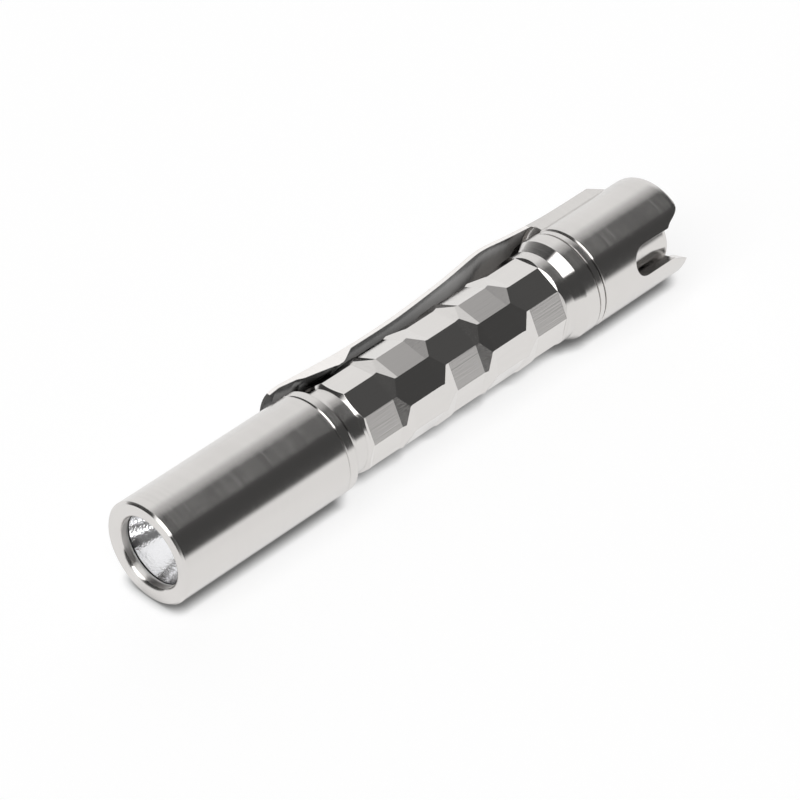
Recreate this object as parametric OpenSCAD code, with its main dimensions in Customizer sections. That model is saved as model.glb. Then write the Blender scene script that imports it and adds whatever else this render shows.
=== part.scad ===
// Slim pocket flashlight for one AAA cell, lying along X.
// The origin is the centre of the bezel's front face. X runs to the tail, Z is up,
// and the pocket clip is on the +Y side. Lengths are in millimetres.

/* [Barrel] */
// Wall of the head and the tail cap round their threads
barrel_wall = 0.75; // [0.6:0.05:1.2]
// Length of the head, from the bezel's face to the seam
head_len = 28.3; // [27.5:0.1:32]
// Width of the ring behind the seam
flange_len = 1.35; // [1:0.05:2]
// Length of the hollow slope from that ring down to the neck
flange_slope_len = 1.3; // [0.8:0.05:1.4]
// Wall of the tube at the neck
neck_wall = 0.55; // [0.5:0.05:0.65]
// Length from the foot of the slope to the start of the facets
neck_len = 2.5; // [2:0.1:3.5]
// Length of the cone from the neck up to the facets
neck_cone_len = 0.75; // [0.4:0.05:1]
// Edge chamfer of the turned rims
rim_chamfer = 0.3; // [0.2:0.05:0.4]

/* [Facets] */
// Rows of facets along the tube
facet_rows = 5; // [4:1:6]
// Facets round the tube
facets_round = 10; // [10:1:12]
// Wall of the tube at the middle of a facet
facet_wall = 0.73; // [0.65:0.01:0.85]
// Length of a facet's level part
facet_len = 5.05; // [4.6:0.05:5.4]
// Distance from one row to the next
facet_pitch = 7.57; // [7.3:0.01:8]
// Extra length of the last row's facets
last_row_extra = 0.35; // [0:0.05:0.5]
// Rise of a facet's end slopes, in degrees
facet_slope = 13.5; // [11:0.5:16]
// Angle of the first row's facet from the top
facet_turn = 27.8; // [0:0.1:36]

/* [Rear collar] */
// Wall of the tube at the ring behind the facets
ring_wall = 1.07; // [1.05:0.01:1.15]
// Width of that ring
ring_len = 1.85; // [1.5:0.05:3]
// Length of the cone from the ring up to the collar
collar_cone_len = 1.7; // [1.2:0.05:2.4]
// Width of the collar
collar_len = 2.15; // [1.5:0.05:3.5]
// Width of the grooves and the band in front of the tail cap
groove_len = 1.3; // [1.1:0.05:1.6]
// Depth of those grooves
groove_depth = 0.27; // [0.15:0.01:0.4]
// Depth of the band between them below the barrel
band_drop = 0.06; // [0.02:0.02:0.12]
// Width of one of those grooves
groove_w = 0.2; // [0.15:0.05:0.3]

/* [Threads] */
// Pitch of both screw threads
thread_pitch = 1.0; // [0.7:0.05:1.2]
// Depth of the thread grooves
thread_depth = 0.3; // [0.15:0.05:0.35]
// Wall of the tube under both male threads
tenon_wall = 1.0; // [0.95:0.05:1.1]
// Radial gap between a male thread and its cap
thread_gap = 0.05; // [0.03:0.01:0.08]
// Length of the front male thread, with its seal
front_tenon_len = 6.0; // [5.6:0.1:6.6]
// Length of the rear male thread, with its seal
rear_tenon_len = 3.4; // [3.2:0.1:3.5]
// Width of an O-ring groove
seal_groove_len = 0.95; // [0.9:0.05:1.1]
// Depth of an O-ring groove
seal_groove_depth = 0.6; // [0.55:0.05:0.65]
// Thickness of an O-ring's section
seal_section = 0.55; // [0.5:0.01:0.57]

/* [Cell] */
// Diameter of the cell
cell_d = 10.5; // [10.3:0.1:10.6]
// Length of the cell with its terminal
cell_len = 44.5; // [44:0.1:45]
// Gap between the cell and its bore in the tube
bore_gap = 0.2; // [0.15:0.05:0.25]
// Diameter of the cell's positive terminal
terminal_d = 3.8; // [3.4:0.1:4.2]
// Height of the positive terminal
terminal_h = 0.8; // [0.6:0.1:1]
// Height of the domed negative end
cell_base_h = 0.2; // [0.1:0.05:0.3]
// Thickness of the cell's printed sleeve
sleeve_t = 0.1; // [0.08:0.01:0.15]
// Distance from the cell's terminal to the seam
cell_ahead = 0.3; // [0:0.1:1]

/* [Bezel] */
// Wall of the head round the lens
lens_wall = 1.65; // [1.5:0.05:1.7]
// Width of the bevel round the opening
bevel_w = 0.7; // [0.4:0.05:0.9]
// Depth of the bevel
bevel_depth = 0.75; // [0.5:0.05:1]
// Width of the lip that holds the lens
lip_w = 0.6; // [0.4:0.05:0.7]
// Depth from the front face to the back of the lip
lip_depth = 1.2; // [1.1:0.05:1.4]
// Thickness of the lens
lens_t = 1.2; // [1:0.1:1.6]
// Thickness of the lens gasket
gasket_t = 0.3; // [0.2:0.05:0.4]
// Radial step from the opening back to the gasket
gasket_step = 0.05; // [0.03:0.01:0.1]
// Radial gap round the parts in the head
seat_gap = 0.05; // [0.03:0.01:0.08]

/* [Light engine] */
// Depth of the reflector
reflector_depth = 7.85; // [7:0.05:8.5]
// Width of the reflector's rim
reflector_rim_w = 0.7; // [0.65:0.05:0.9]
// Diameter of the hole at the reflector's back
reflector_hole_d = 3.5; // [3.2:0.1:3.8]
// Thickness of the reflector's rim
reflector_rim_t = 0.8; // [0.6:0.1:1.2]
// Wall of the reflector's cup
reflector_wall = 0.5; // [0.4:0.05:0.6]
// Thickness of the ring that centres the reflector
centering_t = 0.5; // [0.3:0.05:0.5]
// Outside diameter of the centering ring
centering_d = 7.0; // [6:0.1:8]
// Side of the LED package
led_w = 3.0; // [2.6:0.1:3]
// Thickness of the LED package
led_t = 0.5; // [0.4:0.05:0.6]
// Diameter of the LED's dome
led_dome_d = 2.4; // [2:0.1:2.5]
// Thickness of the LED's board
led_board_t = 0.6; // [0.5:0.05:1]
// Radial step from the thread in to the brass pill
pill_step = 0.15; // [0.1:0.05:0.25]
// Wall of the brass pill
pill_wall = 1.0; // [0.8:0.05:1.3]
// Thickness of the pill's front plate
pill_plate_t = 2.0; // [1.5:0.1:2.5]
// Diameter of the pill's hole for the wires
wire_hole_d = 4.0; // [3.8:0.1:4.6]
// Diameter of one wire
wire_d = 0.7; // [0.5:0.05:0.8]
// Distance between the two wires' centres
wire_spread = 2.0; // [1.6:0.1:2.4]
// Thickness of the driver board
driver_t = 1.0; // [0.8:0.05:1.2]
// Gap between the driver board and the tube's end
driver_gap = 0.1; // [0.05:0.05:0.2]
// Width of the front spring's turns where it meets the driver
front_spring_d = 5.0; // [4:0.1:6]
// Thickness of the springs' wire
spring_wire = 0.6; // [0.4:0.05:0.7]

/* [Tail cap] */
// Length of the tail cap
cap_len = 17.1; // [17:0.1:20]
// Wall of the crown round the button
crown_wall = 1.75; // [1.65:0.05:1.85]
// Distance from the cap's front edge to the recess's floor
recess_floor_at = 5.7; // [5.6:0.1:5.8]
// Radius of the cap's rounded end
cap_round = 1.5; // [0.8:0.1:1.7]
// Width of the thumb slot
slot_w = 4.36; // [4:0.02:5]
// Distance from the cap's front edge to the slot's floor
slot_floor_at = 6.1; // [6.1:0.1:7]
// Angle of the slot from the top
slot_turn = 71.5; // [60:0.5:80]
// Length of the slot's flared mouth
mouth_len = 3.8; // [3.6:0.1:4]
// Width that the mouth gains on each side
mouth_flare = 4.0; // [3.6:0.05:4.4]

/* [Switch] */
// Thickness of the threaded ring that holds the switch
retainer_t = 0.5; // [0.4:0.05:0.6]
// Width of that ring
retainer_w = 1.65; // [1.6:0.05:1.9]
// Thickness of the switch board
switch_board_t = 0.7; // [0.6:0.05:0.8]
// Radial step from the cell's side in to the tail spring
tail_spring_step = 1.75; // [1.65:0.05:2.2]
// Gap between the button and the crown
button_side_gap = 0.35; // [0.3:0.05:0.5]
// Height of the button above the recess's floor
button_h = 9.2; // [8.8:0.1:9.6]
// Radius of the button's rounded top
button_round = 1.3; // [0.8:0.1:1.6]
// Wall of the button
button_wall = 0.45; // [0.4:0.05:0.5]
// Travel of the button
button_travel = 1.2; // [0.8:0.1:1.3]
// Gap left below the button when pressed
button_gap = 0.1; // [0.05:0.05:0.2]
// Side of the square switch housing
switch_w = 5.4; // [5:0.1:5.6]
// Height of the switch housing
switch_h = 4.2; // [3.8:0.1:4.4]
// Diameter of the switch plunger
plunger_d = 2.6; // [2.2:0.1:3]
// Gap round the switch plunger
plunger_gap = 0.15; // [0.1:0.05:0.2]

/* [Clip] */
// Width of the clip
clip_w = 7.2; // [6:0.1:8]
// Angle of the clip from the top, towards the far side
clip_turn = 82; // [70:1:90]
// Inward slope of the clip's side faces, in degrees
clip_draft = 10; // [0:1:15]
// Thickness of the clip
clip_t = 0.55; // [0.5:0.05:0.6]
// Distance of the clip's tip from the seam
clip_tip_ahead = 0.4; // [0:0.1:2]
// Gap between the clip's nub and the facets' corners
nub_gap = 0.12; // [0.1:0.02:0.4]
// Highest rise of the clip above the barrel
clip_rise = 2.55; // [2.4:0.05:3]
// Length of the clip's foot on the tail cap
foot_len = 13.1; // [10:0.1:14]
// Height of the clip's foot above the barrel
foot_h = 1.45; // [1.3:0.05:1.7]

/* [Hidden] */
$fn = 96;

// Radii, from the cell outwards
bore_r = cell_d / 2 + bore_gap;
tenon_r = bore_r + tenon_wall;
tenon_bore_r = tenon_r + thread_gap;
barrel_r = tenon_bore_r + barrel_wall;
neck_r = bore_r + neck_wall;
ring_r = bore_r + ring_wall;
groove_r = barrel_r - groove_depth;
band_r = barrel_r - band_drop;
seal_groove_r = tenon_r - seal_groove_depth;
lens_r = barrel_r - lens_wall;
lens_bore_r = lens_r + seat_gap;
opening_r = lens_r - lip_w;
bevel_r = opening_r + bevel_w;
gasket_r = opening_r + gasket_step;
mouth_r = lens_r - reflector_rim_w;
hole_r = reflector_hole_d / 2;
pill_r = tenon_r - pill_step;
pill_bore_r = pill_r + seat_gap;
recess_r = barrel_r - crown_wall;
button_r = recess_r - button_side_gap;

// Radii at the facets: their middle, the ridges between them, the corners where rows meet and the blank
apothem = bore_r + facet_wall;
ridge_r = apothem / cos(180 / facets_round);
corner_rise = 0.17;
corner_r = ridge_r + corner_rise;
stock_r = ridge_r + 1.5 * corner_rise;

// Places along X
seam_x = head_len;
flange_end_x = seam_x + flange_len;
neck_x = flange_end_x + flange_slope_len;
facets_x = neck_x + neck_len;
facets_end_x = facets_x + (facet_rows - 1) * facet_pitch + facet_len + last_row_extra;
ring_end_x = facets_end_x + ring_len;
collar_x = ring_end_x + collar_cone_len;
groove_x = collar_x + collar_len;
cap_x = groove_x + groove_len;
cap_end_x = cap_x + cap_len;
tenon_front_x = seam_x - front_tenon_len;
tenon_rear_x = cap_x + rear_tenon_len;

// Places inside the head
lens_x = lip_depth + gasket_t;
lens_back_x = lens_x + lens_t;
reflector_back_x = lens_back_x + reflector_depth;
led_board_x = reflector_back_x + centering_t + led_t;
pill_x = led_board_x + led_board_t;
driver_x = tenon_front_x - driver_gap - driver_t;
driver_back_x = driver_x + driver_t;

// Places of the cell and inside the tail cap
tail_spring_d = cell_d - 2 * tail_spring_step;
cell_x = seam_x - cell_ahead;
cell_end_x = cell_x + cell_len;
retainer_x = tenon_rear_x + driver_gap;
switch_board_x = retainer_x + retainer_t;
switch_board_back_x = switch_board_x + switch_board_t;
recess_floor_x = cap_x + recess_floor_at;
button_top_x = recess_floor_x + button_h;
button_inner_r = button_r - button_wall;
skirt_gap = 0.08;
skirt_r = button_inner_r - skirt_gap;
skirt_wall = 0.4;
button_edge_x = recess_floor_x + button_travel + button_gap;
switch_back_x = switch_board_back_x + switch_h;
plunger_tip_x = button_top_x - button_wall;

// Places of the slot
slot_floor_x = cap_x + slot_floor_at;
mouth_x = cap_end_x - mouth_len;

// Places of the clip
clip_gap = 0.1;
foot_end_x = cap_x + foot_len;
clip_split_x = cap_x + clip_gap;
foot_r = barrel_r + foot_h;
foot_slope = 1.5;
clip_tip_x = seam_x - clip_tip_ahead;

function place(angle) = [angle, 0, 0];

// Points of a smooth curve through the given ones, which it also passes through
function curve_point(a, b, c, d, t) = 0.5 * (2 * b + (c - a) * t
    + (2 * a - 5 * b + 4 * c - d) * t * t + (3 * b - a - 3 * c + d) * t * t * t);
function curve(points, steps) = let (last = len(points) - 1) [for (i = [0 : last - 1], j = [0 : steps - 1])
    curve_point(points[max(i - 1, 0)], points[i], points[i + 1], points[min(i + 2, last)], j / steps),
    points[last]];

// Points of a quarter circle about a centre, [x, radius] each
function arc(centre, radius, from, to, steps) = [for (i = [0 : steps])
    centre + radius * [cos(from + (to - from) * i / steps), sin(from + (to - from) * i / steps)]];

// A solid of revolution about X from [x, radius] points
module turned(points) rotate([0, 90, 0])
    rotate_extrude()
        polygon([for (p = points) [p[1], p[0]]]);

// A ring about X
module ring(x, length, outer_r, inner_r) turned([[x, inner_r], [x + length, inner_r],
    [x + length, outer_r], [x, outer_r]]);

// A disc about X
module disc(x, length, r) translate([x, 0, 0])
    rotate([0, 90, 0])
        cylinder(h = length, r = r);

// Grooves of a male thread between two places along X, with narrow crests between them
thread_crest = 0.3;
function thread_points(from, to) = let (count = floor((to - from) / thread_pitch)) [for (i = [0 : count - 1],
    p = [[thread_crest / 2, tenon_r], [0.5, tenon_r - thread_depth], [1 - thread_crest / 2, tenon_r]])
    [from + (i + p[0]) * thread_pitch, p[1]]];

module head_shell() color([0.78, 0.78, 0.78])
    turned([[0, bevel_r], [bevel_depth, opening_r], [lip_depth, opening_r],
        [lip_depth, lens_bore_r], [pill_x, lens_bore_r], [pill_x, pill_bore_r],
        [driver_back_x, pill_bore_r], [driver_back_x, tenon_bore_r], [seam_x, tenon_bore_r],
        [seam_x, barrel_r - rim_chamfer / 2], [seam_x - rim_chamfer / 2, barrel_r],
        [rim_chamfer, barrel_r], [0, barrel_r - rim_chamfer]]);

module lens_gasket() color([0.12, 0.12, 0.12])
    ring(lip_depth, gasket_t, lens_r, gasket_r);

module lens() color([0.85, 0.9, 0.92, 0.4])
    disc(lens_x, lens_t, lens_r);

// Radius of the reflector's parabola at a distance behind its mouth
reflector_k = (pow(mouth_r, 2) - pow(hole_r, 2)) / reflector_depth;
function bowl_r(depth) = sqrt(pow(mouth_r, 2) - reflector_k * depth);
bowl_steps = 12;
cup_r = lens_r - 2 * seat_gap;

module reflector() color([0.9, 0.9, 0.88])
    turned(concat(
        [for (i = [0 : bowl_steps]) let (depth = reflector_depth * i / bowl_steps)
            [lens_back_x + depth, bowl_r(depth)]],
        [for (i = [bowl_steps : -1 : 2]) let (depth = reflector_depth * i / bowl_steps)
            [lens_back_x + depth, min(bowl_r(depth) + reflector_wall, cup_r)]],
        [[lens_back_x + reflector_rim_t, cup_r], [lens_back_x + reflector_rim_t, lens_r],
            [lens_back_x, lens_r]]));

module centering_ring() color([0.93, 0.93, 0.9])
    ring(reflector_back_x, centering_t + led_t, centering_d / 2, led_w / sqrt(2) + seat_gap);

module led_package() color([0.95, 0.93, 0.8])
    translate([led_board_x - led_t, -led_w / 2, -led_w / 2])
        cube([led_t, led_w, led_w]);

module led_dome() color([0.95, 0.85, 0.3])
    intersection() {
        translate([led_board_x - led_t, 0, 0])
            sphere(d = led_dome_d, $fn = 48);
        disc(led_board_x - led_t - led_dome_d, led_dome_d, led_dome_d);
    }

module led_board() color([0.9, 0.9, 0.9])
    difference() {
        disc(led_board_x, led_board_t, lens_r);
        for (side = [-1, 1])
            translate([led_board_x - 1, 0, side * wire_spread / 2])
                rotate([0, 90, 0])
                    cylinder(h = led_board_t + 2, d = wire_d + 2 * seat_gap, $fn = 24);
    }

module driver_pill() color([0.8, 0.65, 0.3])
    turned([[pill_x, wire_hole_d / 2], [pill_x + pill_plate_t, wire_hole_d / 2],
        [pill_x + pill_plate_t, pill_r - pill_wall], [driver_x, pill_r - pill_wall],
        [driver_x, pill_r], [pill_x, pill_r]]);

module led_wires() color([0.7, 0.1, 0.1])
    for (side = [-1, 1])
        translate([led_board_x, 0, side * wire_spread / 2])
            rotate([0, 90, 0])
                cylinder(h = driver_x - led_board_x, d = wire_d, $fn = 24);

module driver_board() color([0.1, 0.35, 0.2])
    disc(driver_x, driver_t, pill_r);

// Parts on the driver board, from its centre outwards
inductor_d = 3.2;
inductor_h = 2.4;
chip_w = 2.4;
chip_h = 1.0;
part_off = 2.9;
module driver_parts() color([0.15, 0.15, 0.16]) {
    translate([driver_x - inductor_h, -part_off, 0])
        rotate([0, 90, 0])
            cylinder(h = inductor_h, d = inductor_d, $fn = 32);
    for (side = [-1, 1])
        translate([driver_x - chip_h, part_off - chip_w / 2, side * chip_w * 0.7 - chip_w / 2])
            cube([chip_h, chip_w, chip_w]);
}

// A hidden spring drawn as the plain tapered tube that it fills
module spring_tube(from, from_d, to, to_d) turned([[from, from_d / 2 - spring_wire],
    [to, to_d / 2 - spring_wire], [to, to_d / 2], [from, from_d / 2]]);

module contact_spring() color([0.85, 0.7, 0.35])
    spring_tube(driver_back_x, front_spring_d, cell_x, terminal_d);

// The tube before the facets are cut
module tube_blank() turned(concat(
    [[tenon_front_x, bore_r], [tenon_front_x, tenon_r - thread_depth],
        [tenon_front_x + thread_depth, tenon_r]],
    thread_points(tenon_front_x + thread_depth, front_seal_x - thread_pitch / 2),
    seal_groove(front_seal_x),
    [[seam_x, tenon_r], [seam_x, barrel_r - rim_chamfer / 2], [seam_x + rim_chamfer / 2, barrel_r],
        [flange_end_x, barrel_r]],
    [for (i = [1 : 6]) [flange_end_x + flange_slope_len * (1 - cos(15 * i)),
        barrel_r - (barrel_r - neck_r) * sin(15 * i)]],
    [[facets_x - neck_cone_len, neck_r], [facets_x, stock_r], [facets_end_x, stock_r],
        [facets_end_x, ring_r], [ring_end_x, ring_r], [collar_x, barrel_r]],
    [[groove_x - rim_chamfer / 3, barrel_r], [groove_x, groove_r], [groove_x + groove_w / 2, groove_r],
        [groove_x + groove_w, band_r], [cap_x - 1.5 * groove_w, band_r], [cap_x - groove_w, groove_r],
        [cap_x, groove_r], [cap_x, tenon_r]],
    seal_groove(rear_seal_x),
    thread_points(rear_seal_x + seal_groove_len + land, tenon_rear_x - land),
    [[tenon_rear_x - land / 2, tenon_r], [tenon_rear_x, tenon_r - thread_depth / 2], [tenon_rear_x, bore_r]]));

// The outline of one O-ring groove that starts at x
function seal_groove(x) = [[x, tenon_r], [x, seal_groove_r],
    [x + seal_groove_len, seal_groove_r], [x + seal_groove_len, tenon_r]];
land = 0.1;
front_seal_x = seam_x - seal_groove_len - 5 * land;
rear_seal_x = cap_x + 3 * land;

// The space outside one facet of a row: level along its length, rising at its ends.
// An end slope runs on into the next row, and the last row ends in a short shoulder.
facet_run = 3;
shoulder_run = 0.4;
shoulder_slope = 45;
module facet_cut(row) {
    last = row == facet_rows - 1;
    front_x = facets_x + row * facet_pitch;
    rear_x = front_x + facet_len + (last ? last_row_extra : 0);
    front_run = row == 0 ? neck_cone_len : facet_run;
    rear_run = last ? shoulder_run : facet_run;
    rear_slope = last ? shoulder_slope : facet_slope;
    top = 2 * barrel_r;
    rotate([90, 0, 0])
        linear_extrude(height = 2 * ridge_r * tan(180 / facets_round) + 4 * corner_rise, center = true)
            polygon([[front_x - front_run, apothem + front_run * tan(facet_slope)], [front_x, apothem],
                [rear_x, apothem], [rear_x + rear_run, apothem + rear_run * tan(rear_slope)],
                [rear_x + rear_run, top], [front_x - front_run, top]]);
}

module body_tube() color([0.75, 0.75, 0.75])
    difference() {
        tube_blank();
        for (row = [0 : facet_rows - 1], i = [0 : facets_round - 1])
            rotate(place(facet_turn + (i - (row % 2) / 2) * 360 / facets_round))
                facet_cut(row);
    }

seal_lift = 0.02;
module o_ring(x) color([0.1, 0.1, 0.1])
    rotate([0, 90, 0])
        rotate_extrude()
            translate([seal_groove_r + seal_section / 2 + seal_lift, x + seal_groove_len / 2])
                circle(d = seal_section, $fn = 24);

can_r = cell_d / 2 - sleeve_t;
module battery_can() color([0.7, 0.7, 0.7])
    turned([[cell_x + terminal_h, 0], [cell_x + terminal_h, can_r], [cell_end_x - cell_base_h, can_r],
        [cell_end_x, can_r - 3 * cell_base_h], [cell_end_x, 0]]);

module battery_sleeve() color([0.2, 0.3, 0.5])
    ring(cell_x + terminal_h, cell_len - terminal_h - cell_base_h, cell_d / 2, can_r);

module battery_terminal() color([0.8, 0.8, 0.8])
    disc(cell_x, terminal_h, terminal_d / 2);

// The thumb slot, as an outline in the plane of the slot, deeper than the wall.
// Each side of its mouth is an S-shaped line, given in shares of the mouth's length and flare.
mouth_shares = [[0, 0], [0.18, 0.12], [0.46, 0.23], [0.7, 0.36], [0.85, 0.48], [0.95, 0.6], [1, 0.72]];
module slot_cut() {
    half = slot_w / 2;
    flare = curve([for (share = mouth_shares)
        [mouth_x + share[0] * mouth_len, half + share[1] * mouth_flare]], 3);
    mirrored = [for (i = [len(flare) - 1 : -1 : 0]) [flare[i][0], -flare[i][1]]];
    rotate(place(slot_turn))
        linear_extrude(height = 2 * barrel_r)
            polygon(concat(arc([slot_floor_x + half, 0], half, 270, 90, 12), flare,
                [[cap_end_x + half, barrel_r], [cap_end_x + half, -barrel_r]], mirrored));
}

// The part of a turned shell between the clip's sloping side faces, standing on the far side.
// The clip has its full width at one radius and narrows outwards.
full_width_r = barrel_r + 0.6 * clip_rise;
module clip_band(points) rotate(place(-clip_turn))
    intersection() {
        turned(points);
        rotate([90, 0, 90])
            linear_extrude(height = cap_end_x)
                polygon([for (p = [[-1, 0], [1, 0], [1, 2], [-1, 2]])
                    [p[0] * (clip_w / 2 + (1 - p[1]) * full_width_r * tan(clip_draft)), p[1] * full_width_r]]);
    }

// The clip's line from its tip to the cap. Each place is given by its share of the way
// from the seam to the cap, and each height above the barrel by its share of the clip's rise.
clip_span = cap_x - seam_x;
function clip_point(along, height, down) = [seam_x + along * clip_span, barrel_r + height * clip_rise - down];
clip_line = [[0.031, 0.667], [0.13, 0.549], [0.255, 0.412], [0.391, 0.392], [0.537, 0.51], [0.672, 0.706],
    [0.797, 0.98], [0.849, 1], [0.923, 0.824]];
clip_root_r = foot_r + clip_t / 2;
clip_outer = concat([[clip_tip_x, barrel_r + 0.59 * clip_rise]],
    [for (p = clip_line) clip_point(p[0], p[1], 0)], [[clip_split_x, clip_root_r]]);
clip_inner = concat([[clip_split_x, clip_root_r - clip_t]],
    [for (i = [len(clip_line) - 1 : -1 : 4]) clip_point(clip_line[i][0], clip_line[i][1], clip_t)],
    [clip_point(0.433, 0.196, 0), clip_point(0.282, 0.196, 0)]);

// The nub that presses on the facets, and the lip that rises from it to the tip
nub_r = corner_r + nub_gap;
nub_from = 0.209;
nub_to = 0.226;
clip_nub = [[seam_x + nub_to * clip_span + clip_t, nub_r + clip_t / 4], [seam_x + nub_to * clip_span, nub_r],
    [seam_x + nub_from * clip_span, nub_r], [seam_x + nub_from * clip_span - clip_t, nub_r + clip_t / 4]];
clip_lip = [clip_point(0.109, 0.176, 0), clip_point(0.088, 0.333, 0), clip_point(0.031, 0.49, 0),
    [clip_tip_x, barrel_r + 0.42 * clip_rise]];

module clip_arm() color([0.75, 0.75, 0.75])
    clip_band(concat(curve(clip_outer, 5), curve(clip_inner, 4), clip_nub, clip_lip));

// The clip's foot, turned in one with the cap: a fillet under the arm, a level pad and a slope
fillet_r = 0.6;
module clip_foot() {
    under_r = clip_root_r - clip_t;
    sunk_r = barrel_r - barrel_wall / 2;
    clip_band(concat([[clip_split_x, under_r]],
        arc([clip_split_x, under_r - fillet_r], fillet_r, 90, 0, 5),
        [[clip_split_x + fillet_r, sunk_r], [foot_end_x, sunk_r], [foot_end_x, barrel_r],
            [foot_end_x - foot_slope, foot_r]],
        curve([[foot_end_x - foot_slope, foot_r], [cap_x + 0.3 * foot_len, foot_r + clip_t / 10],
            [clip_split_x, clip_root_r]], 4)));
}

module tail_cap() color([0.78, 0.78, 0.78])
    difference() {
        union() {
            turned(concat([[cap_x, tenon_bore_r], [cap_x, barrel_r - rim_chamfer / 2],
                [cap_x + rim_chamfer / 2, barrel_r]],
                arc([cap_end_x - cap_round, barrel_r - cap_round], cap_round, 90, 0, 8),
                [[cap_end_x, recess_r], [recess_floor_x, recess_r], [recess_floor_x, skirt_r + seat_gap],
                    [recess_floor_x - skirt_wall, skirt_r + seat_gap],
                    [recess_floor_x - skirt_wall, tenon_bore_r]]));
            clip_foot();
        }
        slot_cut();
    }

// The threaded ring that clamps the switch board and the button's seal
module retaining_ring() color([0.8, 0.65, 0.3])
    ring(retainer_x, retainer_t, tenon_r, tenon_r - retainer_w);

module switch_board() color([0.1, 0.35, 0.2])
    difference() {
        disc(switch_board_x, switch_board_t, tenon_r - seat_gap);
        for (side = [-1, 1])
            translate([switch_board_x - 1, 0, side * pin_off])
                rotate([0, 90, 0])
                    cylinder(h = switch_board_t + 2, d = pin_d + 2 * seat_gap, $fn = 24);
    }

module tail_spring() color([0.85, 0.7, 0.35])
    spring_tube(cell_end_x, tail_spring_d, switch_board_x, tail_spring_d + 3 * spring_wire);

// The rubber seal: a clamped flange and a skirt that stands up inside the button
module button_seal() color([0.85, 0.86, 0.84])
    turned([[switch_board_back_x, skirt_r - skirt_wall], [button_edge_x + button_travel, skirt_r - skirt_wall],
        [button_edge_x + button_travel, skirt_r], [recess_floor_x - skirt_wall, skirt_r],
        [recess_floor_x - skirt_wall, tenon_r - seat_gap], [switch_board_back_x, tenon_r - seat_gap]]);

module button_cap() color([0.75, 0.75, 0.75])
    turned(concat([[button_edge_x, button_inner_r], [button_edge_x, button_r]],
        arc([button_top_x - button_round, button_r - button_round], button_round, 90, 0, 8),
        [[button_top_x, 0], [plunger_tip_x, 0]],
        arc([button_top_x - button_round, button_r - button_round], button_round - button_wall, 0, 90, 6)));

// The housing stands on the board, with the plunger's well along its middle
well_floor = 0.6;
well_d = plunger_d + 2 * plunger_gap;
module switch_housing() color([0.12, 0.12, 0.13])
    difference() {
        translate([switch_board_back_x, -switch_w / 2, -switch_w / 2])
            cube([switch_h, switch_w, switch_w]);
        disc(switch_board_back_x + well_floor, switch_h, well_d / 2);
    }

spring_floor_x = switch_board_back_x + well_floor + button_travel + seat_gap;
plunger_base_x = switch_back_x - button_travel - 4 * seat_gap;
module switch_plunger() color([0.8, 0.2, 0.15])
    disc(plunger_base_x, plunger_tip_x - plunger_base_x, plunger_d / 2);

// The plunger's return spring, as the tube that it fills when pressed
module switch_spring() color([0.7, 0.7, 0.7])
    ring(spring_floor_x, plunger_base_x - spring_floor_x, plunger_d / 2, plunger_d / 2 - spring_wire);

pin_d = 0.8;
pin_off = 1.9;
pin_proud = 0.5;
module switch_pins() color([0.8, 0.7, 0.4])
    for (side = [-1, 1])
        translate([switch_board_x - pin_proud, 0, side * pin_off])
            rotate([0, 90, 0])
                cylinder(h = switch_board_t + pin_proud, d = pin_d, $fn = 24);

head_shell();
lens_gasket();
lens();
reflector();
centering_ring();
led_package();
led_dome();
led_board();
driver_pill();
led_wires();
driver_board();
driver_parts();
contact_spring();
body_tube();
o_ring(front_seal_x);  // front_o_ring
o_ring(rear_seal_x);  // rear_o_ring
battery_can();
battery_sleeve();
battery_terminal();
tail_cap();
clip_arm();
retaining_ring();
switch_board();
tail_spring();
button_seal();
button_cap();
switch_housing();
switch_plunger();
switch_spring();
switch_pins();
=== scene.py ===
# A slim polished-steel pocket flashlight lies on a white table, seen from above its bezel.
# The tube, tail cap and clip are the CAD's own solids; the head, lens, reflector, button and
# springs are built here. Lengths are in millimetres until mesh_piece makes metres of them.
import math
import bmesh
import bpy
from mathutils import Matrix, Vector


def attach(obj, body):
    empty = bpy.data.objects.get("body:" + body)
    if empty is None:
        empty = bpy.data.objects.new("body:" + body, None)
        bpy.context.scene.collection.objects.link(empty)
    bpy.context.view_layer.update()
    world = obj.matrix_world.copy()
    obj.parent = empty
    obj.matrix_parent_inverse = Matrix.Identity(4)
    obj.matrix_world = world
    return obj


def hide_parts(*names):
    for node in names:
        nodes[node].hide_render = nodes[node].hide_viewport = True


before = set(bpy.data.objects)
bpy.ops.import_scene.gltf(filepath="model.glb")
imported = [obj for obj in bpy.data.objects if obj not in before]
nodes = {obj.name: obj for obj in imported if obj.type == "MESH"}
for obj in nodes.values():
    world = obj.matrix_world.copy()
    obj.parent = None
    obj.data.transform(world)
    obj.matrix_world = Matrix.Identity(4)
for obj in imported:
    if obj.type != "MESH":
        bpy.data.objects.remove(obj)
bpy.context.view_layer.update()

MM = 0.001

# Places along the axis, from the bezel's face
BEVEL_DEPTH = 0.75
LIP_DEPTH = 1.2
LENS_X = 1.5
BOWL_X = 2.02
REFLECTOR_BACK_X = 10.55
PILL_X = 12.15
DRIVER_BACK_X = 22.2
CLIP_TIP_X = 27.9
CELL_X = 28.0
SEAM_X = 28.3
MILLED_X = 32.7
FACETS_END_X = 69.13
CELL_END_X = 72.5
SWITCH_BOARD_X = 80.13
SPRING_FLOOR_X = 82.68
BUTTON_EDGE_X = 83.13
PLUNGER_BASE_X = 83.63
BUTTON_TOP_X = 91.03

# Radii
BARREL_R = 7.25
OPENING_R = 5.0
BEVEL_R = 5.7
LENS_R = 5.6
LENS_BORE_R = 5.65
PILL_BORE_R = 6.35
THREAD_BORE_R = 6.5
BOWL_MOUTH_R = 5.08
BOWL_HOLE_R = 1.75
BUTTON_R = 5.15

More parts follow.
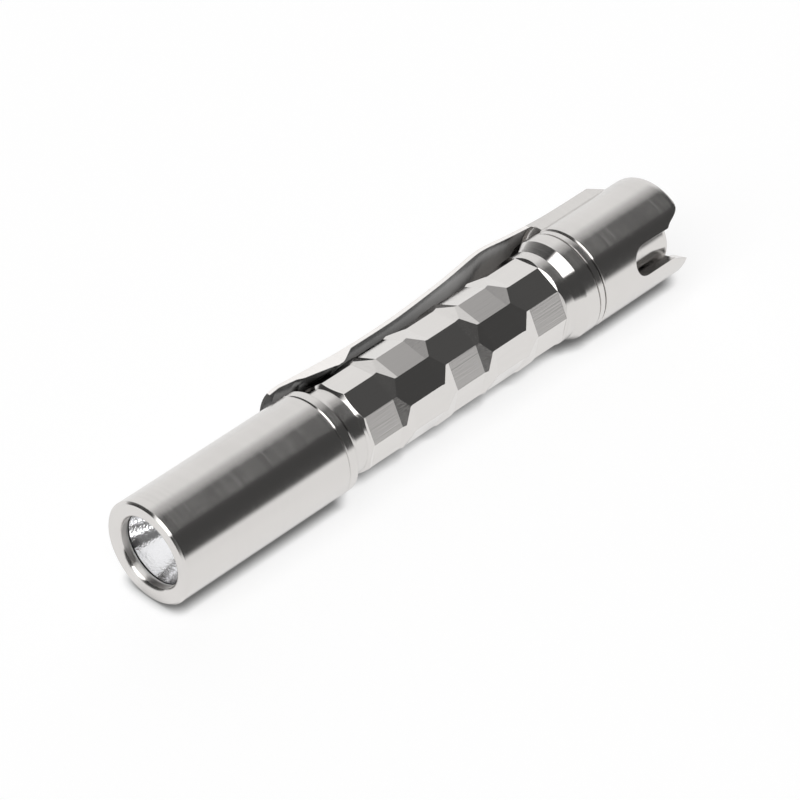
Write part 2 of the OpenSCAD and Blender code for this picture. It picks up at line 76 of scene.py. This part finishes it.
# Walls, gaps, rounds and chamfers
RIM_CHAMFER = 0.3
LENS_CHAMFER = 0.08
LENS_GAP = 0.02
BOWL_WALL = 0.5
BOWL_RIM_LEN = 1.5
BOWL_RIM_STEP = 0.1
BUTTON_WALL = 0.45
BUTTON_ROUND = 1.3
BUTTON_HOLLOW = 0.12

# Springs: piece, body, CAD node, then the coil's start x and r, end x and r, turns and wire
SPRINGS = [
    ("front_coil", "head", "contact_spring", DRIVER_BACK_X, 2.5, CELL_X, 1.9, 6, 0.6),
    ("rear_coil", "cap", "tail_spring", SWITCH_BOARD_X, 4.4, CELL_END_X, 3.5, 6, 0.6),
    ("button_coil", "button", "switch_spring", SPRING_FLOOR_X, 1.3, PLUNGER_BASE_X, 1.3, 4, 0.22),
]

# Faces round the axis, steps along a curve, and the angle from which an edge is sharp
SEGMENTS = 160
HEAD_SEGMENTS = 240
BOWL_SEGMENTS = 200
BEVEL_STEPS = 10
BOWL_STEPS = 48
SHOULDER_STEPS = 14
INNER_SHOULDER_STEPS = 8
HOLLOW_STEPS = 8
COIL_STEPS_A_TURN = 36
WIRE_SIDES = 10
SHARP_ANGLE = math.radians(35)


def mesh_piece(name, bm, body, replaced, material):
    """Turns a bmesh in millimetres into a piece that rides on a body in place of its CAD nodes."""
    bmesh.ops.scale(bm, vec=(MM, MM, MM), verts=bm.verts)
    mesh = bpy.data.meshes.new(name)
    bm.to_mesh(mesh)
    bm.free()
    piece = bpy.data.objects.new(name, mesh)
    bpy.context.scene.collection.objects.link(piece)
    mesh.materials.append(material)
    mesh.shade_smooth()
    mesh.set_sharp_from_angle(angle=SHARP_ANGLE)
    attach(piece, body)
    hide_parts(*replaced)
    return piece


def arc(centre, radius, start, end, steps):
    """Points of an arc of [x, r], with its angles in degrees from +x."""
    return [(centre[0] + radius * math.cos(math.radians(start + (end - start) * k / steps)),
             centre[1] + radius * math.sin(math.radians(start + (end - start) * k / steps)))
            for k in range(steps + 1)]


def spun(points, segments=SEGMENTS):
    """A solid of revolution about X from a closed [x, r] outline."""
    bm = bmesh.new()
    rings = []
    for j in range(segments):
        phi = 2 * math.pi * j / segments
        rings.append([bm.verts.new((x, -r * math.sin(phi), r * math.cos(phi))) for x, r in points])
    for j in range(segments):
        ring, following = rings[j], rings[(j + 1) % segments]
        for i in range(len(points)):
            k = (i + 1) % len(points)
            bm.faces.new((ring[i], ring[k], following[k], following[i]))
    bmesh.ops.remove_doubles(bm, verts=bm.verts, dist=1e-4)
    bmesh.ops.recalc_face_normals(bm, faces=bm.faces)
    return bm


def coil(start_x, start_r, end_x, end_r, turns, wire):
    """A round wire wound about X inside a tapered tube, with a closed turn at each end."""
    bm = bmesh.new()
    half = wire / 2
    steps = COIL_STEPS_A_TURN * turns
    rings = []
    for k in range(steps + 1):
        t = k / steps
        rise = min(max((t * turns - 1) / (turns - 2), 0), 1)
        x = start_x + half + (end_x - start_x - wire) * rise
        r = start_r + (end_r - start_r) * rise - half
        phi = 2 * math.pi * turns * t
        outward = Vector((0, -math.sin(phi), math.cos(phi)))
        ring = []
        for j in range(WIRE_SIDES):
            turn = 2 * math.pi * j / WIRE_SIDES
            ring.append(bm.verts.new(Vector((x, 0, 0)) + outward * (r + half * math.cos(turn))
                                     + Vector((half * math.sin(turn), 0, 0))))
        rings.append(ring)
    for ring, following in zip(rings, rings[1:]):
        for j in range(WIRE_SIDES):
            k = (j + 1) % WIRE_SIDES
            bm.faces.new((ring[j], ring[k], following[k], following[j]))
    bm.faces.new(rings[0])
    bm.faces.new(rings[-1])
    bmesh.ops.recalc_face_normals(bm, faces=bm.faces)
    return bm


class Graph:
    """Short forms for the nodes of a shader. A value is a socket or a plain number, vector or colour."""

    def __init__(self, tree):
        self.tree = tree

    def feed(self, socket, value):
        """Links a value to a socket, or sets it there."""
        if isinstance(value, bpy.types.NodeSocket):
            self.tree.links.new(value, socket)
        else:
            socket.default_value = value

    def add(self, kind, inputs=None, **settings):
        """A new node with its settings made and its inputs fed."""
        node = self.tree.nodes.new("ShaderNode" + kind)
        for name, value in settings.items():
            setattr(node, name, value)
        for name, value in (inputs or {}).items():
            self.feed(node.inputs[name], value)
        return node

    def math(self, operation, a, b=0.0):
        return self.add("Math", {0: a, 1: b}, operation=operation).outputs["Value"]

    def product(self, first, *others):
        for value in others:
            first = self.math("MULTIPLY", first, value)
        return first

    def vector_math(self, operation, a, b, output="Vector"):
        return self.add("VectorMath", {0: a, 1: b}, operation=operation).outputs[output]

    def split(self, vector):
        parts = self.add("SeparateXYZ", {"Vector": vector}).outputs
        return parts["X"], parts["Y"], parts["Z"]

    def step(self, value, start, end, low, high, smooth=True):
        """Low up to one place, high from another on."""
        return self.add("MapRange", {"Value": value, "From Min": start, "From Max": end, "To Min": low,
                                     "To Max": high},
                        interpolation_type="SMOOTHSTEP" if smooth else "LINEAR").outputs["Result"]

    def window(self, value, rise, fall):
        """One between two soft edges and nothing outside them."""
        return self.product(self.step(value, *rise, 0.0, 1.0), self.step(value, *fall, 1.0, 0.0))

    def blend(self, factor, a, b):
        """A mix of two colours."""
        node = self.add("Mix", {"Factor": factor}, data_type="RGBA")
        self.feed(node.inputs["A"], a)
        self.feed(node.inputs["B"], b)
        return node.outputs["Result"]

    def occlusion(self, distance, samples):
        """One in the open, less where something lies within a distance in millimetres."""
        return self.add("AmbientOcclusion", {"Distance": distance * MM}, samples=samples).outputs["AO"]

    def noise(self, coordinates, stretch, detail=3.0):
        """Noise with so many cycles a metre along each axis."""
        mapping = self.add("Mapping", {"Vector": coordinates, "Scale": stretch})
        return self.add("TexNoise", {"Vector": mapping.outputs["Vector"], "Scale": 1.0,
                                     "Detail": detail}).outputs["Fac"]

    def spread(self, noise, low, high):
        """A noise's usual range, from 0.3 to 0.7, stretched over another."""
        return self.step(noise, 0.3, 0.7, low, high)


def new_material(name):
    """A material with its graph, its shader and the object's coordinates."""
    material = bpy.data.materials.new(name)
    material.use_nodes = True
    graph = Graph(material.node_tree)
    shader = material.node_tree.nodes["Principled BSDF"]
    coordinates = graph.add("TexCoord").outputs["Object"]
    return material, graph, shader, coordinates


def shades(colour, amount):
    """A colour made darker and lighter by an amount."""
    return [c * (1 - amount) for c in colour] + [1], [min(1, c * (1 + amount)) for c in colour] + [1]


def coat(name, colour, roughness, metallic=0.0, mottle=0.06, scale=400.0, bump=0.02, **sockets):
    """A finish whose colour and roughness vary slightly, with a fine bump."""
    material, graph, shader, coordinates = new_material(name)
    noise = graph.noise(coordinates, (scale, scale, scale), 4.0)
    patches = graph.step(noise, 0.35, 0.65, 0.0, 1.0)
    graph.feed(shader.inputs["Base Color"], graph.blend(patches, *shades(colour, mottle)))
    graph.feed(shader.inputs["Roughness"],
               graph.step(noise, 0.0, 1.0, roughness * 0.85, roughness * 1.15))
    relief = graph.add("Bump", {"Height": noise, "Strength": 0.3, "Distance": bump * MM})
    graph.feed(shader.inputs["Normal"], relief.outputs["Normal"])
    shader.inputs["Metallic"].default_value = metallic
    for socket, value in sockets.items():
        shader.inputs[socket.replace("_", " ")].default_value = value
    return material


# Steel: its colour, and the cycles a metre of its turned lines, milled lines, smudges and marks
STEEL = (0.71, 0.69, 0.672)
TURNED_LINES = (7000, 15, 15)
MILLED_LINES = (120, 6000, 6000)
SMUDGES = (150, 150, 150)
TOOL_MARKS = (5200, 30, 30)
TURNED_BUMP = 0.0025
MILLED_BUMP = 0.0045
WORN_EDGE = 0.08
# The clip's painted light: where its inner side begins, the painted highlight on its side face, and the
# painted shade on its inner side and the tip's cut face
INNER_R = (-3.0, -1.5)
SIDE_HIGHLIGHT = 1.3
INNER_SHADE = 0.22
CUT_SHADE = 0.1


def steel(name, milled=None, roughness=0.183, shade_reach=0.5, cut_x=None):
    """Polished steel with fine tool lines round the axis, or along it between two places.

    Each tool line scatters light across itself. Edges are slightly worn, and painted shade darkens the
    colour where other surfaces lie close."""
    material, graph, shader, coordinates = new_material(name)
    x = graph.split(coordinates)[0]
    turned_lines = graph.noise(coordinates, TURNED_LINES, 4.0)
    if milled:
        # The lines turn from round the axis to along it
        along = graph.window(x, ((milled[0] - 0.02) * MM, milled[0] * MM),
                             (milled[1] * MM, (milled[1] + 0.02) * MM))
        milled_lines = graph.noise(coordinates, MILLED_LINES)
        lines = graph.add("Mix", {"Factor": along, "A": turned_lines, "B": milled_lines}).outputs["Result"]
        graph.feed(shader.inputs["Anisotropic Rotation"], graph.step(along, 0.0, 1.0, 0.25, 0.0))
        graph.feed(shader.inputs["Anisotropic"], graph.step(along, 0.0, 1.0, 1.0, 0.6))
    else:
        along = 0.0
        lines = turned_lines
        shader.inputs["Anisotropic Rotation"].default_value = 0.25
        shader.inputs["Anisotropic"].default_value = 1.0
    around = graph.vector_math("CROSS_PRODUCT", (1, 0, 0), coordinates)
    tangent = graph.add("VectorTransform", {"Vector": around}, vector_type="VECTOR",
                        convert_from="OBJECT", convert_to="WORLD")
    unit = graph.add("VectorMath", {0: tangent.outputs["Vector"]}, operation="NORMALIZE")
    graph.feed(shader.inputs["Tangent"], unit.outputs["Vector"])

    worn = graph.add("Bevel", {"Radius": WORN_EDGE * MM}, samples=6)
    depth = graph.step(along, 0.0, 1.0, TURNED_BUMP * MM, MILLED_BUMP * MM)
    relief = graph.add("Bump", {"Height": lines, "Normal": worn.outputs["Normal"], "Strength": 1.0,
                                "Distance": depth})
    graph.feed(shader.inputs["Normal"], relief.outputs["Normal"])
    smudges = graph.noise(coordinates, SMUDGES)
    marks = graph.noise(coordinates, TOOL_MARKS, 1.0)
    graph.feed(shader.inputs["Roughness"],
               graph.product(graph.spread(smudges, 0.95, 1.05), graph.spread(lines, 0.9, 1.1),
                             graph.step(marks, 0.45, 0.7, 0.97, 1.16),
                             graph.step(along, 0.0, 1.0, roughness, 0.6 * roughness)))

    # Painted shade: the colour is darkened where other surfaces lie close, as shade in nooks and gaps
    shade = graph.step(graph.occlusion(shade_reach, 6), 0.2, 0.6, 0.3, 1.0)
    if cut_x:
        # The clip's ground side face gets a painted highlight; its inner side and the cut face of its tip
        # get painted shade
        normal = graph.add("TexCoord").outputs["Normal"]
        normal_x, _, normal_z = graph.split(normal)
        radial = graph.vector_math("MULTIPLY", coordinates, (0, 1, 1))
        outward = graph.vector_math("DOT_PRODUCT", radial, normal, "Value")
        cut = graph.product(graph.step(normal_x, -0.95, -0.85, 1.0, 0.0),
                            graph.step(x, cut_x * MM, (cut_x + 0.1) * MM, 1.0, 0.0))
        shade = graph.product(shade, graph.step(normal_z, 0.96, 0.99, 1.0, SIDE_HIGHLIGHT),
                              graph.step(outward, INNER_R[0] * MM, INNER_R[1] * MM, INNER_SHADE, 1.0),
                              graph.step(cut, 0.0, 1.0, 1.0, CUT_SHADE))
    tint = graph.blend(lines, *shades(STEEL, 0.04))
    graph.feed(shader.inputs["Base Color"],
               graph.add("VectorMath", {0: tint, "Scale": shade}, operation="SCALE").outputs["Vector"])
    shader.inputs["Metallic"].default_value = 1.0
    return material


turned_steel = steel("turned_steel")
lip_steel = steel("lip_steel", roughness=0.5)
tube_steel = steel("tube_steel", milled=(MILLED_X, FACETS_END_X))
clip_steel = steel("clip_steel", roughness=0.16, shade_reach=3.0, cut_x=CLIP_TIP_X)


def banded(name, first, second, place, fade, grain_scale, jitter):
    """A material whose colour changes at a place along the axis, on a slightly uneven line."""
    material, graph, shader, coordinates = new_material(name)
    grain = graph.noise(coordinates, (grain_scale, grain_scale, grain_scale))
    uneven_x = graph.math("ADD", graph.split(coordinates)[0], graph.product(grain, jitter * MM))
    beyond = graph.step(uneven_x, place * MM, (place + fade) * MM, 0.0, 1.0)
    graph.feed(shader.inputs["Base Color"], graph.blend(beyond, first + (1,), second + (1,)))
    return material, graph, shader, grain


def gasket_rubber():
    """Grey silicone, black in a thin line where it touches the lens."""
    material, _, shader, _ = banded("gasket_rubber", (0.6, 0.6, 0.59), (0.02, 0.02, 0.02),
                                    LENS_X - 0.05, 0.02, 900, 0.02)
    shader.inputs["Roughness"].default_value = 0.35
    return material


def cell_film():
    """The cell's plain sleeve: dark blue with a silver band at the terminal's end."""
    material, graph, shader, grain = banded("cell_film", (0.6, 0.6, 0.6), (0.05, 0.1, 0.24),
                                            CELL_X + 9, 0.1, 700, 0.05)
    graph.feed(shader.inputs["Roughness"], graph.spread(grain, 0.24, 0.34))
    return material


def orange_peel():
    """Bright metal with small smooth dimples."""
    material, graph, shader, coordinates = new_material("reflector_metal")
    dimples = graph.add("TexVoronoi", {"Vector": coordinates, "Scale": 3600.0, "Smoothness": 0.8},
                        feature="SMOOTH_F1").outputs["Distance"]
    fine = graph.noise(coordinates, (5000, 5000, 5000))
    height = graph.math("ADD", dimples, graph.product(fine, 0.4))
    relief = graph.add("Bump", {"Height": height, "Strength": 1.0, "Distance": 0.015 * MM})
    graph.feed(shader.inputs["Normal"], relief.outputs["Normal"])
    graph.feed(shader.inputs["Base Color"], graph.blend(fine, (0.94, 0.94, 0.95, 1), (0.98, 0.98, 0.99, 1)))
    shader.inputs["Roughness"].default_value = 0.1
    shader.inputs["Metallic"].default_value = 1.0
    return material


def lens_glass():
    """Clear coated glass."""
    material, graph, shader, coordinates = new_material("lens_glass")
    haze = graph.noise(coordinates, (300, 300, 300))
    graph.feed(shader.inputs["Roughness"], graph.spread(haze, 0.0, 0.015))
    shader.inputs["Base Color"].default_value = (1, 1, 1, 1)
    shader.inputs["Specular Tint"].default_value = (0.3, 0.3, 0.32, 1)
    shader.inputs["Transmission Weight"].default_value = 1.0
    shader.inputs["IOR"].default_value = 1.45
    return material


brass = coat("turned_brass", (0.78, 0.6, 0.28), 0.22, metallic=1.0)
board_green = coat("board_green", (0.05, 0.22, 0.12), 0.35)
dark_parts = coat("dark_parts", (0.04, 0.04, 0.045), 0.4)
spring_gold = coat("spring_gold", (0.8, 0.66, 0.36), 0.25, metallic=1.0)
seal_rubber = coat("seal_rubber", (0.03, 0.03, 0.03), 0.5)
nickel = coat("cell_nickel", (0.62, 0.62, 0.62), 0.25, metallic=1.0)
silicone = coat("silicone", (0.74, 0.75, 0.73), 0.42, mottle=0.02, scale=900.0, bump=0.01,
                Subsurface_Weight=0.15, Subsurface_Scale=0.001)
white_board = coat("white_board", (0.85, 0.85, 0.83), 0.4)
reflector_metal = orange_peel()

finishes = {
    "head_shell": turned_steel, "tail_cap": turned_steel, "body_tube": tube_steel,
    "clip_arm": clip_steel, "button_cap": turned_steel, "button_seal": silicone,
    "lens": lens_glass(), "lens_gasket": gasket_rubber(), "reflector": reflector_metal,
    "centering_ring": coat("white_plastic", (0.85, 0.85, 0.82), 0.4),
    "led_package": coat("led_ceramic", (0.85, 0.82, 0.7), 0.35),
    "led_dome": coat("led_phosphor", (0.9, 0.75, 0.2), 0.2, Coat_Weight=0.6),
    "led_board": white_board, "led_wires": coat("wire_red", (0.55, 0.06, 0.05), 0.4),
    "driver_pill": brass, "retaining_ring": brass,
    "driver_board": board_green, "switch_board": board_green,
    "driver_parts": dark_parts, "switch_housing": dark_parts,
    "contact_spring": spring_gold, "tail_spring": spring_gold,
    "switch_spring": spring_gold, "switch_pins": spring_gold,
    "front_o_ring": seal_rubber, "rear_o_ring": seal_rubber,
    "battery_can": nickel, "battery_terminal": nickel, "battery_sleeve": cell_film(),
    "switch_plunger": coat("plunger_red", (0.6, 0.08, 0.06), 0.35),
}
for name, material in finishes.items():
    mesh = nodes[name].data
    mesh.materials.clear()
    mesh.materials.append(material)


def head_profile():
    """The head's outline: a rounded bevel round the lens, stepped bores and chamfered rims."""
    bevel = [(BEVEL_DEPTH * (1 - math.cos(math.radians(90 * k / BEVEL_STEPS))),
              BEVEL_R - (BEVEL_R - OPENING_R) * math.sin(math.radians(90 * k / BEVEL_STEPS)))
             for k in range(BEVEL_STEPS + 1)]
    bores = [(LIP_DEPTH, OPENING_R), (LIP_DEPTH, LENS_BORE_R), (PILL_X, LENS_BORE_R),
             (PILL_X, PILL_BORE_R), (DRIVER_BACK_X, PILL_BORE_R), (DRIVER_BACK_X, THREAD_BORE_R),
             (SEAM_X, THREAD_BORE_R)]
    rims = [(SEAM_X, BARREL_R - RIM_CHAMFER / 2), (SEAM_X - RIM_CHAMFER / 2, BARREL_R),
            (RIM_CHAMFER, BARREL_R), (0, BARREL_R - RIM_CHAMFER)]
    return bevel + bores + rims


def lens_profile():
    """The lens's outline: a flat disc with a fine edge chamfer."""
    back_x = BOWL_X - LENS_GAP
    return [(LENS_X, 0.0), (LENS_X, LENS_R - LENS_CHAMFER), (LENS_X + LENS_CHAMFER, LENS_R),
            (back_x - LENS_CHAMFER, LENS_R), (back_x, LENS_R - LENS_CHAMFER), (back_x, 0.0)]


def button_profile():
    """The button's outline: a straight side, a round shoulder and a slightly hollow top."""
    shoulder = (BUTTON_TOP_X - BUTTON_ROUND, BUTTON_R - BUTTON_ROUND)
    outer = [(BUTTON_EDGE_X, BUTTON_R - BUTTON_HOLLOW), (BUTTON_EDGE_X + BUTTON_HOLLOW, BUTTON_R)]
    outer += arc(shoulder, BUTTON_ROUND, 90, 0, SHOULDER_STEPS)
    outer += [(BUTTON_TOP_X - BUTTON_HOLLOW * (1 - (k / HOLLOW_STEPS) ** 2), shoulder[1] * k / HOLLOW_STEPS)
              for k in range(HOLLOW_STEPS - 1, -1, -1)]
    inner = [(BUTTON_TOP_X - BUTTON_WALL - BUTTON_HOLLOW, 0.0)]
    inner += arc(shoulder, BUTTON_ROUND - BUTTON_WALL, 0, 90, INNER_SHOULDER_STEPS)
    inner += [(BUTTON_EDGE_X, BUTTON_R - BUTTON_WALL)]
    return outer + inner


def bowl_profile():
    """The reflector's outline: a parabola inside, and a cup with a rim outside."""
    depth = REFLECTOR_BACK_X - BOWL_X
    cup_r = LENS_R - BOWL_RIM_STEP
    inner = [(BOWL_X + depth * k / BOWL_STEPS,
              math.sqrt(BOWL_MOUTH_R ** 2 - (BOWL_MOUTH_R ** 2 - BOWL_HOLE_R ** 2) * (k / BOWL_STEPS)))
             for k in range(BOWL_STEPS + 1)]
    # Every second point of the bowl carries the cup's wall, from the back up to the rim
    outer = [(x, min(r + BOWL_WALL, cup_r)) for x, r in inner[:9:-2]]
    rim = [(BOWL_X + BOWL_RIM_LEN, cup_r), (BOWL_X + BOWL_RIM_LEN, LENS_R), (BOWL_X, LENS_R)]
    return inner + outer + rim


head = mesh_piece("head_barrel", spun(head_profile(), HEAD_SEGMENTS), "head", ["head_shell"],
                  turned_steel)
# The lip between the bevel and the lens is duller
head.data.materials.append(lip_steel)
for face in head.data.polygons:
    depth = face.center.x / MM
    if BEVEL_DEPTH / 2 < depth < LIP_DEPTH + 0.1 and math.hypot(*face.center.yz) < LENS_R * MM:
        face.material_index = 1
mesh_piece("lens_disc", spun(lens_profile()), "head", ["lens"], finishes["lens"])
mesh_piece("button_top", spun(button_profile()), "button", ["button_cap"], turned_steel)
mesh_piece("reflector_bowl", spun(bowl_profile(), BOWL_SEGMENTS), "head", ["reflector"],
           reflector_metal)
for name, body, node, *shape in SPRINGS:
    mesh_piece(name, coil(*shape), body, [node], spring_gold)

# The table's own tone for light, its darker tone to the eye, and the shadow close to the object, painted by
# dimming the table's glow
TABLE_SIZE = 6
TABLE_CENTRE_X = 45
TABLE_TONES = ((0.925, 0.925, 0.925, 1), (0.935, 0.935, 0.935, 1))
TABLE_SEEN = (0.25, 0.25, 0.25, 1)
SHADOW_REACH = 2.2
SHADOW_EDGES = (0.22, 0.93)
TABLE_GLOW = (0.085, 0.81)


def white_table():
    """A table that is white to the eye and in the metal, apart from the object's shadow close to it, which
    is partly cast and partly painted.
    """
    material, graph, shader, coordinates = new_material("table")
    path = graph.add("LightPath").outputs
    seen = graph.math("MAXIMUM", path["Is Camera Ray"],
                      graph.math("MAXIMUM", path["Is Glossy Ray"], path["Is Transmission Ray"]))
    paper = graph.blend(graph.noise(coordinates, (60, 60, 60)), *TABLE_TONES)
    graph.feed(shader.inputs["Base Color"], graph.blend(seen, paper, TABLE_SEEN))
    shader.inputs["Roughness"].default_value = 0.9
    shader.inputs["Specular IOR Level"].default_value = 0.0
    # Painted shadow: the glow dims where the object lies close, on top of the shadow the table really
    # receives
    glow = graph.step(graph.occlusion(SHADOW_REACH, 16), *SHADOW_EDGES, *TABLE_GLOW)
    shader.inputs["Emission Color"].default_value = (1, 1, 1, 1)
    graph.feed(shader.inputs["Emission Strength"], graph.product(seen, glow))
    return material


bpy.ops.mesh.primitive_plane_add(size=TABLE_SIZE, location=(TABLE_CENTRE_X * MM, 0, -BARREL_R * MM))
floor = bpy.context.object
floor.name = "table"
floor.data.materials.append(white_table())


def edges(start, end):
    """Two angles in degrees, as radians."""
    return math.radians(start), math.radians(end)


# The studio's edges lie in the parts of a ray's direction, or at angles round the barrel's axis
BARREL_RAY_X = 0.55
PAPER_EDGE = edges(-40, -6)
PAPER_LEAN = 0.25
PAPER_LIGHT = (1.0, 0.09)
LEFT_X = (0.18, 0.24)
LEFT_Y = (0.25, 0.35)
LEFT_Z = (0.03, 0.1)
LEFT_DARKNESS = 0.95
RIGHT_X = (0.88, 0.93)
RIGHT_Z = (-0.02, 0.02)
RIGHT_DARKNESS = 0.93
ROOM_EDGE = edges(20, 45)
ROOM_LIGHT = -0.02
HORIZON_EDGE = edges(83, 89)
HORIZON_LIGHT = 0.55
BOX_ACROSS = ((-0.72, -0.62), (0.22, 0.32))
BOX_ALONG = ((-2.6, -2.4), (-0.12, 0.06))
BOX_FOOT = (0.02, 0.1)
BOX_LIGHT = 2.6


def studio_world():
    """White paper beyond the object, a dark room behind the camera and a soft box overhead to the left."""
    world = bpy.data.worlds.new("studio")
    bpy.context.scene.world = world
    world.use_nodes = True
    world.node_tree.nodes.clear()
    graph = Graph(world.node_tree)
    x, y, z = graph.split(graph.add("TexCoord").outputs["Generated"])

    # The angle round the barrel's axis, from straight up towards the camera's side
    angle = graph.math("ARCTAN2", graph.product(y, -1.0), z)
    lean = graph.product(graph.math("SUBTRACT", x, BARREL_RAY_X), PAPER_LEAN)
    paper = graph.step(graph.math("ADD", angle, lean), *PAPER_EDGE, *PAPER_LIGHT, smooth=False)
    left = graph.product(graph.step(x, *LEFT_X, 1.0, 0.0), graph.step(y, *LEFT_Y, 0.0, LEFT_DARKNESS),
                         graph.step(z, *LEFT_Z, 0.0, 1.0))
    right = graph.product(graph.step(x, *RIGHT_X, 0.0, RIGHT_DARKNESS), graph.step(z, *RIGHT_Z, 0.0, 1.0))
    open_paper = graph.math("SUBTRACT", 1.0, graph.math("MAXIMUM", left, right))
    room = graph.step(angle, *ROOM_EDGE, 0.0, ROOM_LIGHT)
    horizon = graph.step(angle, *HORIZON_EDGE, 0.0, HORIZON_LIGHT)
    base = graph.math("ADD", graph.math("ADD", graph.product(paper, open_paper), room), horizon)

    # The soft box is a level rectangle, so its edges are straight in these ratios
    height = graph.math("MAXIMUM", z, 0.01)
    across = graph.math("DIVIDE", y, height)
    along = graph.math("DIVIDE", x, height)
    box = graph.product(graph.window(across, *BOX_ACROSS), graph.window(along, *BOX_ALONG),
                        graph.step(z, *BOX_FOOT, 0.0, BOX_LIGHT))

    camera_ray = graph.add("LightPath").outputs["Is Camera Ray"]
    light = graph.add("Mix", {"Factor": camera_ray, "A": graph.math("ADD", base, box), "B": 1.0})
    background = graph.add("Background", {"Color": (1, 1, 1, 1), "Strength": light.outputs["Result"]})
    graph.add("OutputWorld", {"Surface": background.outputs["Background"]})


studio_world()

# The camera was fitted to the photograph: its focal length in pixels of a square frame, where it
# stands, and the directions to its right and back
SENSOR = 36
FRAME_PX = 800
FOCAL_PX = 4550
VIEW_END = 20
PLACE = Vector((-276.93, -313.368, 373.278)) * MM
RIGHT = Vector((0.698009, -0.716089, 0.0))
BACK = Vector((-0.549454, -0.535582, 0.641290))

scene = bpy.context.scene
camera_data = bpy.data.cameras.new("camera")
camera_data.sensor_width = SENSOR
camera_data.lens = FOCAL_PX / FRAME_PX * SENSOR
camera_data.clip_end = VIEW_END
camera = bpy.data.objects.new("camera", camera_data)
scene.collection.objects.link(camera)
up = BACK.cross(RIGHT)
rows = [(RIGHT[i], up[i], BACK[i], PLACE[i]) for i in range(3)]
camera.matrix_world = Matrix((*rows, (0, 0, 0, 1)))
scene.camera = camera
scene.view_settings.view_transform = "Standard"
